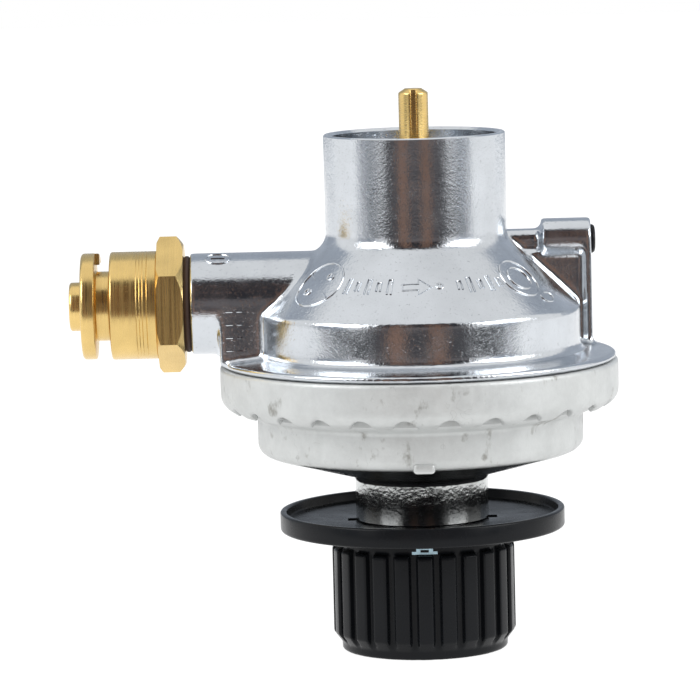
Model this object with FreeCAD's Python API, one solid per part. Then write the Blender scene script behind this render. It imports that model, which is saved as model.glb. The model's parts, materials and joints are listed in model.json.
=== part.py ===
import FreeCAD, Part
import math
import os

# Gas pressure regulator for a screw-on cylinder, with a hand knob.
# Millimetres. +Z runs up the main axis from the knob to the cylinder cup.
# The outlet plug points along -X, and the side boss lies at +X, +Y.
# The origin is on the main axis, on the knob's flat bottom face.

V = FreeCAD.Vector
UP = V(0, 0, 1)
ORIGIN = V(0, 0, 0)

# ---- Driving dimensions ----

FIT = 0.08            # radial clearance of parts that turn or slide
GAP = 0.1             # axial gap between parts of different bodies

# Cylinder cup: a 1 inch, 20 threads per inch screw joint
CUP_R = 17.5
CUP_TOP = 100.1
CUP_MOUTH_R = 16.15
CUP_MOUTH_DEPTH = 5.0
THREAD_MINOR_R = 12.15
THREAD_MAJOR_R = 12.75
THREAD_PITCH = 1.27
CUP_FLOOR = 82.0
THREAD_START = 84.6

# Upper housing
CONE_TOP = 79.6
WAIST_R = 31.3
WAIST_TOP = 66.7
WAIST_BOTTOM = 58.3
FLANGE_R = 38.1
FLANGE_TOP = 57.3
FLANGE_BOTTOM = 56.05
FLANGE_GROOVE_R = 36.6
FLANGE_STEP_R = 37.35
FLANGE_STEP_TOP = 53.9
CHAMBER_R = 29.2
CHAMBER_ROOF = 76.0

# Crimped ring round both flanges
RING_R = 38.5
RING_TOP = 55.9
RING_BEND = 50.6      # the ring bends inwards below this height
RING_LIP = 47.1
SCALLOPS = 28
SCALLOP_R = 2.4
SCALLOP_RISE = 1.9
SCALLOP_START = -5.3  # degrees from the front

# Diaphragm, its plates and its stud
DIAPHRAGM_TOP = 52.1
DIAPHRAGM_THICK = 0.8
SLIP_THICK = 0.4
CLAMP_R = 36.5
CLAMP_INNER_R = 30.6
ROLL_R = 2.8
ROLL_CENTRE_R = 25.2
PLATE_R = 21.4
PLATE_THICK = 1.0
STUD_R = 2.5
STUD_TIP = 66.9
STUD_BOTTOM = 46.2

# Lower cover and neck
COVER_R = 31.5
COVER_BOTTOM = 39.4
NECK_R = 12.9
NECK_TOP = 34.0
NECK_BOTTOM = 25.3
NECK_BORE_R = 9.6
NECK_FLOOR = 28.0
SPIGOT_R = 11.5
SPIGOT_BOTTOM = 23.6
KEY_WIDTH = 3.1
KEY_R = 10.75
VENT_AT = V(-9.0, 20.0, 0)
VENT_R = 2.0

# Adjusting screw, follower and main spring
STEM_R = 4.0
STEM_FOOT = 8.0
STEM_FLAT = 2.8       # distance of the D-shaped foot's flat from the axis
SCREW_R = 4.75
SCREW_TOP = 44.0
BUSHING_R = 6.5
FOLLOWER_BOTTOM = 31.5
FOLLOWER_FLANGE = 2.0
MAIN_SPRING_R = 7.0
MAIN_SPRING_WIRE = 0.7
MAIN_SPRING_TURNS = 7

# Dish and knob
DISH_R = 27.6
DISH_BOTTOM = 24.3
DISH_FLOOR = 1.0
DISH_TOP = 27.2
DISH_RIM = 1.25
DISH_RIM_BOTTOM = 23.4
KNOB_RIB_R = 17.7
KNOB_ROOT_R = 16.45
KNOB_BASE_R = 16.1
KNOB_RIB_TOP = 20.4
KNOB_TOP = 23.5
KNOB_RIBS = 24
KNOB_RIB_WIDTH = 2.9
MARK_BOTTOM = 20.6
MARK_TOP = 21.9
KNOB_WEB_BOTTOM = 17.0
KNOB_WEB_TOP = 19.5
POCKET_R = 13.2
HUB_R = 7.0
HUB_TOP = 21.5
CAP_R = 13.4
CAP_THICK = 1.6

# Inlet nozzle, pin and valve
NOZZLE_SHANK_R = 5.0
NOZZLE_BORE_R = 3.2
NOZZLE_BOTTOM = 70.0
SEAT_TOP = 72.0
SEAT_BORE_R = 1.3
NOZZLE_TOP = 90.0
PIN_R = 2.85
PIN_TOP = 108.6
FILTER_BOTTOM = 81.9
FILTER_TOP = 83.0

# Outlet along -X: distances from the main axis
OUTLET_Z = 68.0
OUTLET_TUBE_R = 9.75
OUTLET_TUBE_END = 43.75
OUTLET_BORE_R = 6.5
GASKET_R = 9.3
HEX_START = 44.95
HEX_END = 50.05
HEX_CORNER_R = 13.2
PLUG_R = 10.4
PLUG_END = 59.15
GROOVE_R = 6.7
GROOVE_END = 62.05
PLUG_FLANGE_R = 10.25
PLUG_FLANGE_END = 64.75
JET_R = 4.7
JET_END = 67.15
BLOCK_END = 38.2
BLOCK_BOTTOM = 56.8

# Side boss along +X, at this height and distance behind the axis
BOSS_Z = 77.9
BOSS_Y = 10.0
BOSS_R = 4.2
BOSS_START = 24.5
BOSS_END = 34.1
BOSS_BORE_R = 2.6
RIDGE_R = 2.3
WEB_HALF = 3.2         # half the thickness of the web under the ridge


# ---- Shape helpers ----

def outline(start, *steps):
    """Closed face in the XZ plane. A step is an end point, or a pair:
    a point that an arc passes through, then its end point."""
    edges = []
    here = V(start[0], 0, start[1])
    first = here
    for step in steps:
        if isinstance(step[0], tuple):
            middle = V(step[0][0], 0, step[0][1])
            end = V(step[1][0], 0, step[1][1])
            edges.append(Part.Arc(here, middle, end).toShape())
        else:
            end = V(step[0], 0, step[1])
            edges.append(Part.makeLine(here, end))
        here = end
    edges.append(Part.makeLine(here, first))
    return Part.Face(Part.Wire(edges))


def turned(start, *steps):
    """Body of revolution about Z; each point is (radius, height)."""
    return outline(start, *steps).revolve(ORIGIN, UP, 360)


def rod(radius, bottom, top):
    return Part.makeCylinder(radius, top - bottom, V(0, 0, bottom))


def ring(outer, inner, bottom, top):
    return rod(outer, bottom, top).cut(rod(inner, bottom, top))


def box(x0, x1, y0, y1, z0, z1):
    return Part.makeBox(x1 - x0, y1 - y0, z1 - z0, V(x0, y0, z0))


def hexagon(corner_r, bottom, top, first_corner=0.0):
    points = []
    for i in range(7):
        angle = math.radians(first_corner + 60 * i)
        points.append(V(corner_r * math.cos(angle), corner_r * math.sin(angle), bottom))
    return Part.Face(Part.makePolygon(points)).extrude(V(0, 0, top - bottom))


def spun(shape, angle):
    copy = shape.copy()
    copy.rotate(ORIGIN, UP, angle)
    return copy


def around(shape, count, start=0.0):
    return [spun(shape, start + 360.0 * i / count) for i in range(count)]


def to_outlet(shape):
    """Turns a shape made along +Z so that it points along -X on the outlet axis."""
    copy = shape.copy()
    copy.rotate(ORIGIN, V(0, 1, 0), -90)
    copy.translate(V(0, 0, OUTLET_Z))
    return copy


def to_boss(shape):
    """Turns a shape made along +Z so that it points along +X on the boss axis."""
    copy = shape.copy()
    copy.rotate(ORIGIN, V(0, 1, 0), 90)
    copy.translate(V(0, BOSS_Y, BOSS_Z))
    return copy


def coil(mean_r, wire_r, bottom, top, turns):
    """Round-wire compression spring between two heights."""
    height = top - bottom - 2 * wire_r
    helix = Part.makeHelix(height / turns, height, mean_r)
    helix.translate(V(0, 0, bottom + wire_r))
    start = helix.Edges[0].valueAt(helix.Edges[0].FirstParameter)
    tangent = helix.Edges[0].tangentAt(helix.Edges[0].FirstParameter)
    section = Part.Wire(Part.makeCircle(wire_r, start, tangent))
    return Part.Wire(helix).makePipeShell([section], True, True)


# ---- Upper housing ----

def housing_shell():
    return turned(
        (0, DIAPHRAGM_TOP),
        (FLANGE_STEP_R, DIAPHRAGM_TOP),
        (FLANGE_STEP_R, FLANGE_STEP_TOP),
        (FLANGE_GROOVE_R, FLANGE_STEP_TOP),
        (FLANGE_GROOVE_R, FLANGE_BOTTOM),
        (FLANGE_R - 0.3, FLANGE_BOTTOM),
        (FLANGE_R, FLANGE_BOTTOM + 0.3),
        (FLANGE_R, FLANGE_TOP - 0.3),
        (FLANGE_R - 0.3, FLANGE_TOP),
        (WAIST_R + 0.9, WAIST_BOTTOM - 0.3),
        ((WAIST_R + 0.25, WAIST_BOTTOM), (WAIST_R, WAIST_BOTTOM + 0.9)),
        (WAIST_R, WAIST_TOP - 0.8),
        ((WAIST_R - 0.2, WAIST_TOP - 0.25), (WAIST_R - 0.7, WAIST_TOP + 0.15)),
        (CUP_R + 1.0, CONE_TOP - 1.0),
        ((CUP_R + 0.3, CONE_TOP - 0.1), (CUP_R, CONE_TOP + 1.0)),
        (CUP_R, CUP_TOP - 0.3),
        (CUP_R - 0.3, CUP_TOP),
        (0, CUP_TOP),
    )


def cup_hollow():
    """Mouth, parallel thread grooves at the thread's pitch, and relief."""
    mouth_floor = CUP_TOP - CUP_MOUTH_DEPTH
    grooves = int((mouth_floor - 1.0 - THREAD_START) / THREAD_PITCH)
    steps = [(THREAD_MAJOR_R + 0.2, CUP_FLOOR), (THREAD_MAJOR_R + 0.2, THREAD_START)]
    for i in range(grooves):
        z = THREAD_START + i * THREAD_PITCH
        steps.append((THREAD_MINOR_R, z + 0.45))
        steps.append((THREAD_MINOR_R, z + 0.60))
        steps.append((THREAD_MAJOR_R, z + 1.05))
        steps.append((THREAD_MAJOR_R, z + THREAD_PITCH))
    steps.append((THREAD_MAJOR_R + 0.5, mouth_floor))
    steps.append((CUP_MOUTH_R, mouth_floor))
    steps.append((CUP_MOUTH_R, CUP_TOP - 0.5))
    steps.append((CUP_MOUTH_R + 0.5, CUP_TOP))
    steps.append((0, CUP_TOP))
    return turned((0, CUP_FLOOR), *steps)


def chamber():
    return turned(
        (0, DIAPHRAGM_TOP - 1),
        (CHAMBER_R, DIAPHRAGM_TOP - 1),
        (CHAMBER_R, WAIST_TOP - 1.6),
        (15.0, CHAMBER_ROOF),
        (0, CHAMBER_ROOF),
    )


def outlet_tube():
    inner_end = CUP_R - 2.0
    tube = to_outlet(rod(OUTLET_TUBE_R, inner_end, OUTLET_TUBE_END))
    block = box(
        -BLOCK_END, -WAIST_R + 6.0,
        -OUTLET_TUBE_R, OUTLET_TUBE_R,
        BLOCK_BOTTOM, OUTLET_Z,
    )
    upright = [
        e for e in block.Edges
        if abs(e.tangentAt(0).z) > 0.9 and e.CenterOfMass.x < -BLOCK_END + 0.1
    ]
    block = block.makeFillet(0.8, upright)
    return tube.fuse(block)


def side_boss():
    boss = to_boss(turned(
        (0, BOSS_START),
        (BOSS_R - 0.5, BOSS_START),
        ((BOSS_R - 0.15, BOSS_START + 0.15), (BOSS_R, BOSS_START + 0.5)),
        (BOSS_R, BOSS_END),
        (0, BOSS_END),
    ))
    ridge = to_boss(rod(RIDGE_R, CUP_R - 4.0, BOSS_START + 1.0))
    web_bottom = WAIST_BOTTOM - 1.0
    web = box(
        CUP_R - 4.0, BOSS_END - 1.0,
        BOSS_Y - WEB_HALF, BOSS_Y + WEB_HALF,
        web_bottom, BOSS_Z - 2.0,
    )
    plate_side = outline(
        (-BOSS_R - 0.9, FLANGE_TOP - 0.6),
        (-BOSS_R, FLANGE_TOP + 3.0),
        (-BOSS_R, BOSS_Z),
        ((0, BOSS_Z + BOSS_R), (BOSS_R, BOSS_Z)),
        (BOSS_R, FLANGE_TOP + 3.0),
        (BOSS_R + 0.9, FLANGE_TOP - 0.6),
    )
    plate = plate_side.extrude(V(0, 1.3, 0))
    plate.rotate(ORIGIN, UP, -90)
    plate.translate(V(BOSS_END - 1.3, BOSS_Y, 0))
    return boss.fuse([ridge, web, plate])


def upper_housing():
    body = housing_shell().fuse([outlet_tube(), side_boss()])
    nozzle_hole = rod(NOZZLE_SHANK_R, CHAMBER_ROOF - 1, CUP_FLOOR + 1)
    outlet_hole = to_outlet(rod(OUTLET_BORE_R, CHAMBER_R - 6.0, OUTLET_TUBE_END))
    port_hole = to_boss(rod(BOSS_BORE_R, BOSS_START + 2.5, BOSS_END))
    port_neck = to_boss(rod(1.0, BOSS_START - 1.0, BOSS_START + 2.5))
    port_drop = Part.makeCylinder(1.0, 20.0, V(BOSS_START - 1.0, BOSS_Y, BOSS_Z - 20.0))
    holes = [nozzle_hole, outlet_hole, port_hole, port_neck, port_drop]
    body = body.cut([chamber(), cup_hollow()] + holes)
    return body.removeSplitter()


# ---- Crimped ring, diaphragm and lower cover ----

def crimp_ring():
    body = turned(
        (FLANGE_GROOVE_R + GAP, RING_TOP),
        (RING_R - 0.5, RING_TOP),
        ((RING_R - 0.15, RING_TOP - 0.15), (RING_R, RING_TOP - 0.5)),
        (RING_R, RING_BEND),
        ((RING_R - 0.35, RING_LIP + 1.85), (RING_R - 1.5, RING_LIP + 0.65)),
        (36.0, RING_LIP),
        (35.5, RING_LIP + 0.8),
        (36.5, RING_LIP + 1.5),
        ((37.2, RING_LIP + 2.3), (FLANGE_STEP_R + GAP, RING_BEND)),
        (FLANGE_STEP_R + GAP, FLANGE_STEP_TOP + GAP),
        (FLANGE_GROOVE_R + GAP, FLANGE_STEP_TOP + GAP),
    )
    centre_z = RING_LIP + SCALLOP_RISE - SCALLOP_R
    cutter = Part.makeCylinder(SCALLOP_R, 6.0, V(0, -34.0, centre_z), V(0, -1, 0))
    return body.cut(around(cutter, SCALLOPS, SCALLOP_START))


def diaphragm():
    """Rubber sheet with one roll that hangs below its flat part."""
    bottom = DIAPHRAGM_TOP - DIAPHRAGM_THICK
    middle = DIAPHRAGM_TOP - DIAPHRAGM_THICK / 2
    inner = ROLL_R - DIAPHRAGM_THICK / 2
    outer = ROLL_R + DIAPHRAGM_THICK / 2
    start_r = ROLL_CENTRE_R - outer
    end_r = ROLL_CENTRE_R + outer
    return turned(
        (STUD_R + GAP, bottom),
        (start_r, bottom),
        (start_r, middle),
        ((ROLL_CENTRE_R, middle - outer), (end_r, middle)),
        (end_r, bottom),
        (CLAMP_R, bottom),
        (CLAMP_R, DIAPHRAGM_TOP),
        (end_r - DIAPHRAGM_THICK, DIAPHRAGM_TOP),
        (end_r - DIAPHRAGM_THICK, middle),
        ((ROLL_CENTRE_R, middle - inner), (start_r + DIAPHRAGM_THICK, middle)),
        (start_r + DIAPHRAGM_THICK, DIAPHRAGM_TOP),
        (STUD_R + GAP, DIAPHRAGM_TOP),
    )


def slip_ring():
    top = DIAPHRAGM_TOP - DIAPHRAGM_THICK
    return ring(CLAMP_R, CLAMP_INNER_R, top - SLIP_THICK, top)


def cover_shell():
    """Outside of the lower cover, as a solid of revolution."""
    top = DIAPHRAGM_TOP - DIAPHRAGM_THICK - SLIP_THICK
    return turned(
        (0, top),
        (FLANGE_STEP_R, top),
        (FLANGE_STEP_R, RING_BEND),
        ((37.0, RING_LIP + 2.4), (36.2, RING_LIP + 1.65)),
        (35.9, RING_LIP + 1.8),
        (35.4, RING_LIP + 2.3),
        (34.8, RING_LIP + 2.3),
        (34.3, RING_LIP + 1.8),
        (34.2, RING_LIP + 0.3),
        (33.7, RING_LIP - 0.3),
        (32.6, RING_LIP - 0.7),
        ((31.8, RING_LIP - 1.1), (COVER_R, RING_LIP - 1.9)),
        (COVER_R, COVER_BOTTOM + 1.0),
        ((COVER_R - 0.4, COVER_BOTTOM), (COVER_R - 2.0, COVER_BOTTOM - 1.0)),
        (NECK_R + 0.6, NECK_TOP + 0.1),
        ((NECK_R + 0.1, NECK_TOP - 0.2), (NECK_R, NECK_TOP - 0.8)),
        (NECK_R, NECK_BOTTOM),
        (SPIGOT_R, NECK_BOTTOM),
        (SPIGOT_R, SPIGOT_BOTTOM + 0.7),
        (SPIGOT_R - 0.5, SPIGOT_BOTTOM + 0.7),
        (SPIGOT_R - 0.5, SPIGOT_BOTTOM + 0.1),
        (SPIGOT_R - 0.2, SPIGOT_BOTTOM + 0.1),
        (SPIGOT_R - 0.2, SPIGOT_BOTTOM),
        (0, SPIGOT_BOTTOM),
    )


def spring_space():
    return turned(
        (0, NECK_FLOOR),
        (NECK_BORE_R, NECK_FLOOR),
        (NECK_BORE_R, 36.9),
        (CHAMBER_R, 41.6),
        (CHAMBER_R, DIAPHRAGM_TOP),
        (0, DIAPHRAGM_TOP),
    )


def lower_cover():
    tab = box(-2.0, 2.1, -COVER_R - 0.3, -COVER_R + 4.0, COVER_BOTTOM - 1.3, COVER_BOTTOM + 0.8)
    rounded = [e for e in tab.Edges if abs(e.tangentAt(0).y) > 0.9]
    tab = tab.makeFillet(0.5, rounded)
    key_slots = box(-KEY_R, KEY_R, -KEY_WIDTH / 2, KEY_WIDTH / 2, NECK_FLOOR, 42.0)
    bushing_hole = rod(BUSHING_R, SPIGOT_BOTTOM, NECK_FLOOR)
    vent = Part.makeCylinder(VENT_R, 12.0, V(VENT_AT.x, VENT_AT.y, 32.0))
    body = cover_shell().fuse(tab)
    body = body.cut([spring_space(), key_slots, bushing_hole, vent])
    return body.removeSplitter()


def vent_screen():
    disc = Part.makeCylinder(VENT_R, 0.5, V(VENT_AT.x, VENT_AT.y, 38.0))
    holes = []
    for angle in range(0, 360, 60):
        offset = V(1.1 * math.cos(math.radians(angle)), 1.1 * math.sin(math.radians(angle)), 37.5)
        holes.append(Part.makeCylinder(0.3, 1.5, VENT_AT + offset))
    return disc.cut(holes)


# ---- Diaphragm stack ----

def diaphragm_plate():
    top = DIAPHRAGM_TOP - DIAPHRAGM_THICK
    return turned(
        (STUD_R, top - PLATE_THICK),
        (PLATE_R - 1.0, top - PLATE_THICK),
        (PLATE_R - 1.0, top - 2.2),
        (PLATE_R, top - 2.2),
        (PLATE_R, top - 0.4),
        (PLATE_R - 0.4, top),
        (STUD_R, top),
    )


def stud_washer():
    return ring(10.0, STUD_R, DIAPHRAGM_TOP, DIAPHRAGM_TOP + 0.8)


def diaphragm_stud():
    head = DIAPHRAGM_TOP + 0.8
    return turned(
        (0, STUD_BOTTOM),
        (STUD_R - 0.4, STUD_BOTTOM),
        (STUD_R, STUD_BOTTOM + 0.4),
        (STUD_R, head),
        (4.0, head),
        (4.0, head + 1.2),
        (3.5, head + 1.7),
        (1.5, head + 1.7),
        (1.5, STUD_TIP - 0.3),
        (1.2, STUD_TIP),
        (0, STUD_TIP),
    )


def stud_nut():
    top = DIAPHRAGM_TOP - DIAPHRAGM_THICK - PLATE_THICK
    return hexagon(4.6, top - 3.2, top).cut(rod(STUD_R, top - 3.2, top))


# ---- Inlet and valve ----

def inlet_nozzle():
    return turned(
        (SEAT_BORE_R, NOZZLE_BOTTOM),
        (NOZZLE_SHANK_R - 1.0, NOZZLE_BOTTOM),
        (NOZZLE_SHANK_R, NOZZLE_BOTTOM + 1.0),
        (NOZZLE_SHANK_R, CUP_FLOOR),
        (8.0, CUP_FLOOR),
        (8.0, CUP_FLOOR + 1.5),
        (7.5, CUP_FLOOR + 2.0),
        (4.6, CUP_FLOOR + 2.0),
        (4.6, NOZZLE_TOP - 0.6),
        (4.0, NOZZLE_TOP),
        (NOZZLE_BORE_R, NOZZLE_TOP),
        (NOZZLE_BORE_R, SEAT_TOP),
        (SEAT_BORE_R + 0.6, SEAT_TOP),
        (SEAT_BORE_R, SEAT_TOP - 0.2),
    )


def inlet_pin():
    """Fluted pin that opens the cylinder's valve; gas runs down the flute."""
    body = turned(
        (0, FILTER_TOP),
        (NOZZLE_BORE_R, FILTER_TOP),
        (NOZZLE_BORE_R, NOZZLE_TOP - 2.0),
        (PIN_R, NOZZLE_TOP - 2.0),
        (PIN_R, PIN_TOP - 1.1),
        (PIN_R - 1.1, PIN_TOP),
        (0, PIN_TOP),
    )
    flute = box(-0.65, 0.65, -NOZZLE_BORE_R - 1.0, -PIN_R + 0.95, FILTER_TOP, PIN_TOP)
    return body.cut(flute)


def inlet_seal():
    return turned(
        (4.6, CUP_FLOOR + 2.0),
        (7.6, CUP_FLOOR + 2.0),
        ((8.1, CUP_FLOOR + 2.9), (7.6, CUP_FLOOR + 3.8)),
        (4.6, CUP_FLOOR + 3.8),
    )


def inlet_filter():
    return rod(NOZZLE_BORE_R, FILTER_BOTTOM, FILTER_TOP)


def poppet():
    """Valve body with three flats for the gas, a pushed stem and a spring tail."""
    body = turned(
        (0, STUD_TIP + GAP),
        (0.7, STUD_TIP + GAP),
        (0.7, SEAT_TOP + 1.0),
        (2.6, SEAT_TOP + 1.0),
        (2.6, SEAT_TOP + 4.0),
        (1.2, SEAT_TOP + 4.0),
        (1.2, SEAT_TOP + 6.4),
        (0, SEAT_TOP + 6.4),
    )
    flat = box(2.0, 4.0, -3.0, 3.0, SEAT_TOP + 1.0, SEAT_TOP + 4.0)
    return body.cut(around(flat, 3))


def poppet_seal():
    return ring(2.4, 0.7, SEAT_TOP + GAP, SEAT_TOP + 1.0)


def poppet_spring():
    return coil(2.0, 0.25, SEAT_TOP + 4.0, FILTER_BOTTOM, 6)


# ---- Outlet ----

def chamfered_hex():
    """Nut-shaped grip with both ends turned down at 30 degrees."""
    rise = 1.1
    drop = rise / math.tan(math.radians(30))
    body = hexagon(HEX_CORNER_R, HEX_START, HEX_END)
    limit = turned(
        (0, HEX_START),
        (HEX_CORNER_R - drop, HEX_START),
        (HEX_CORNER_R, HEX_START + rise),
        (HEX_CORNER_R, HEX_END - rise),
        (HEX_CORNER_R - drop, HEX_END),
        (0, HEX_END),
    )
    return body.common(limit)


def outlet_adaptor():
    """Screwed-in outlet plug: shank, hexagon, barrel, groove and end flange."""
    barrel = turned(
        (0, OUTLET_TUBE_END - 10.0),
        (OUTLET_BORE_R - 0.5, OUTLET_TUBE_END - 10.0),
        (OUTLET_BORE_R, OUTLET_TUBE_END - 9.5),
        (OUTLET_BORE_R, HEX_START),
        (PLUG_R - 0.6, HEX_START),
        (PLUG_R - 0.6, HEX_END),
        (PLUG_R, HEX_END),
        (PLUG_R, PLUG_END - 0.5),
        (PLUG_R - 0.5, PLUG_END),
        (GROOVE_R, PLUG_END),
        (GROOVE_R, GROOVE_END),
        (PLUG_FLANGE_R - 0.3, GROOVE_END),
        (PLUG_FLANGE_R, GROOVE_END + 0.3),
        (PLUG_FLANGE_R, PLUG_FLANGE_END - 0.6),
        (PLUG_FLANGE_R - 0.6, PLUG_FLANGE_END),
        (0, PLUG_FLANGE_END),
    )
    cam = Part.makeCylinder(
        PLUG_FLANGE_R - 0.15, 0.8, V(0, 0, GROOVE_END - 0.8), UP, 34,
    ).cut(rod(GROOVE_R, GROOVE_END - 0.8, GROOVE_END))
    cam = spun(cam, -34)
    bore = rod(3.5, OUTLET_TUBE_END - 10.0, JET_END - 6.0)
    jet_seat = rod(4.0, JET_END - 6.0, PLUG_FLANGE_END)
    body = barrel.fuse([chamfered_hex(), cam]).cut([bore, jet_seat])
    return to_outlet(body.removeSplitter())


def outlet_gasket():
    return to_outlet(ring(GASKET_R, OUTLET_BORE_R, OUTLET_TUBE_END, HEX_START))


def outlet_jet():
    body = turned(
        (0.5, JET_END - 6.0),
        (4.0, JET_END - 6.0),
        (4.0, PLUG_FLANGE_END),
        (JET_R, PLUG_FLANGE_END),
        (JET_R, JET_END - 0.5),
        (JET_R - 0.5, JET_END),
        (1.6, JET_END),
        (0.5, JET_END - 1.2),
    )
    return to_outlet(body)


# ---- Side port ----

def side_port_plug():
    inner = BOSS_END - 5.0
    body = turned(
        (0, inner),
        (BOSS_BORE_R, inner),
        (BOSS_BORE_R, inner + 1.6),
        (1.8, inner + 1.6),
        (1.8, inner + 2.8),
        (BOSS_BORE_R, inner + 2.8),
        (BOSS_BORE_R, BOSS_END),
        (BOSS_BORE_R + 0.2, BOSS_END),
        (BOSS_BORE_R + 0.2, BOSS_END + 0.5),
        (BOSS_BORE_R - 0.3, BOSS_END + 0.9),
        (0, BOSS_END + 0.9),
    )
    return to_boss(body)


def side_port_seal():
    inner = BOSS_END - 5.0
    seal = Part.makeTorus(2.2, 0.4)
    seal.translate(V(0, 0, inner + 2.2))
    return to_boss(seal)


# ---- Adjusting screw and follower ----

def neck_bushing():
    return ring(BUSHING_R, STEM_R + FIT, SPIGOT_BOTTOM, NECK_FLOOR)


def stem_flat(top):
    """What is missing from the round stem where it keys into the knob."""
    return box(STEM_FLAT, STEM_R + 1.0, -STEM_R, STEM_R, STEM_FOOT, top)


def adjusting_screw():
    """Stem with a D-shaped foot, clip groove, seal groove, shoulder and thread."""
    shoulder = NECK_FLOOR + 0.9
    body = turned(
        (1.8, STEM_FOOT),
        (STEM_R, STEM_FOOT),
        (STEM_R, 22.4),
        (3.2, 22.4),
        (3.2, 23.2),
        (STEM_R, 23.2),
        (STEM_R, 25.2),
        (3.1, 25.2),
        (3.1, 26.4),
        (STEM_R, 26.4),
        (STEM_R, shoulder),
        (BUSHING_R, shoulder),
        (BUSHING_R, shoulder + 1.3),
        (SCREW_R, shoulder + 1.3),
        (SCREW_R, SCREW_TOP - 0.6),
        (SCREW_R - 0.6, SCREW_TOP),
        (0, SCREW_TOP),
        (0, 17.0),
        (1.8, 17.0),
    )
    return body.cut(stem_flat(HUB_TOP))


def thrust_washer():
    return ring(6.9, STEM_R, NECK_FLOOR + GAP, NECK_FLOOR + 0.9)


def stem_oring():
    seal = Part.makeTorus(3.56, 0.45)
    seal.translate(V(0, 0, 25.8))
    return seal


def retaining_clip():
    washer = ring(6.0, 3.2, 22.5, 23.1)
    return washer.cut(box(0, 7.0, -1.6, 1.6, 22.0, 24.0))


def spring_follower():
    """Nut that climbs the screw; two keys stop it turning in the neck."""
    flange_top = FOLLOWER_BOTTOM + FOLLOWER_FLANGE
    body = turned(
        (SCREW_R + 0.05, FOLLOWER_BOTTOM),
        (NECK_BORE_R - FIT, FOLLOWER_BOTTOM),
        (NECK_BORE_R - FIT, flange_top),
        (5.8, flange_top),
        (5.8, flange_top + 4.6),
        (5.4, flange_top + 5.0),
        (SCREW_R + 0.05, flange_top + 5.0),
    )
    key = box(6.0, KEY_R - 0.15, -KEY_WIDTH / 2 + 0.1, KEY_WIDTH / 2 - 0.1, FOLLOWER_BOTTOM, flange_top)
    return body.fuse(around(key, 2)).removeSplitter()


def main_spring():
    top = DIAPHRAGM_TOP - DIAPHRAGM_THICK - PLATE_THICK
    bottom = FOLLOWER_BOTTOM + FOLLOWER_FLANGE
    return coil(MAIN_SPRING_R, MAIN_SPRING_WIRE, bottom, top, MAIN_SPRING_TURNS)


# ---- Dish and knob ----

def bezel_dish():
    top = DISH_BOTTOM + DISH_FLOOR
    body = turned(
        (SPIGOT_R, DISH_BOTTOM),
        (DISH_R - 2.2, DISH_BOTTOM),
        (DISH_R - 1.5, DISH_RIM_BOTTOM + 0.15),
        ((DISH_R - 1.35, DISH_RIM_BOTTOM + 0.05), (DISH_R - 1.1, DISH_RIM_BOTTOM)),
        (DISH_R - 0.6, DISH_RIM_BOTTOM),
        ((DISH_R - 0.15, DISH_RIM_BOTTOM + 0.15), (DISH_R, DISH_RIM_BOTTOM + 0.6)),
        (DISH_R, DISH_TOP - 0.4),
        (DISH_R - 0.4, DISH_TOP),
        (DISH_R - DISH_RIM + 0.4, DISH_TOP),
        (DISH_R - DISH_RIM, DISH_TOP - 0.4),
        (DISH_R - DISH_RIM, top + 0.5),
        ((DISH_R - DISH_RIM - 0.15, top + 0.15), (DISH_R - DISH_RIM - 0.5, top)),
        (SPIGOT_R, top),
    )
    slot = box(NECK_R - 0.6, NECK_R + 1.6, -1.6, 1.6, DISH_BOTTOM, top)
    return body.cut(around(slot, 4))


def bezel_ring():
    return ring(SPIGOT_R + 1.0, SPIGOT_R - 0.5, SPIGOT_BOTTOM + 0.1, DISH_BOTTOM)


def knob_envelope():
    """Outer limit of the ribs, tapered at the foot and bevelled at the top."""
    return turned(
        (0, 0.4),
        (KNOB_BASE_R, 0.4),
        (KNOB_BASE_R, 1.5),
        (KNOB_RIB_R, 3.6),
        (KNOB_RIB_R, KNOB_RIB_TOP - 0.5),
        (KNOB_RIB_R - 0.5, KNOB_RIB_TOP),
        (KNOB_ROOT_R, KNOB_RIB_TOP),
        (0, KNOB_RIB_TOP),
    )


def knob():
    core = turned(
        (0, 0),
        (KNOB_BASE_R - 0.3, 0),
        (KNOB_BASE_R, 0.3),
        (KNOB_BASE_R, 1.5),
        (KNOB_ROOT_R, 2.2),
        (KNOB_ROOT_R, KNOB_TOP - 0.6),
        (KNOB_ROOT_R - 0.6, KNOB_TOP),
        (0, KNOB_TOP),
    )
    rib = box(12.0, 20.0, -KNOB_RIB_WIDTH / 2, KNOB_RIB_WIDTH / 2, 1.5, KNOB_RIB_TOP)
    ribs = Part.makeCompound(around(rib, KNOB_RIBS)).common(knob_envelope())
    hollow = ring(CAP_R, HUB_R, 0, KNOB_WEB_BOTTOM)
    hub_recess = rod(HUB_R, 0, STEM_FOOT)
    pocket = ring(POCKET_R, HUB_R, KNOB_WEB_TOP, HUB_TOP).fuse(rod(POCKET_R, HUB_TOP, KNOB_TOP))
    stem_hole = rod(STEM_R, STEM_FOOT, HUB_TOP).cut(stem_flat(HUB_TOP))
    return core.fuse(ribs).cut([hollow, hub_recess, pocket, stem_hole]).removeSplitter()


def knob_cap():
    disc = rod(CAP_R, 0, CAP_THICK)
    return disc.fuse(ring(CAP_R - 0.1, CAP_R - 1.3, CAP_THICK, 4.5)).removeSplitter()


def knob_screw():
    head = turned(
        (0, 5.6),
        (3.4, 5.6),
        ((4.3, 6.2), (4.6, 7.2)),
        (4.6, 8.0),
        (1.8, 8.0),
        (1.8, 16.0),
        (1.4, 16.5),
        (0, 16.5),
    )
    cross = [box(-2.4, 2.4, -0.4, 0.4, 5.0, 6.6), box(-0.4, 0.4, -2.4, 2.4, 5.0, 6.6)]
    return head.cut(cross)


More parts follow.
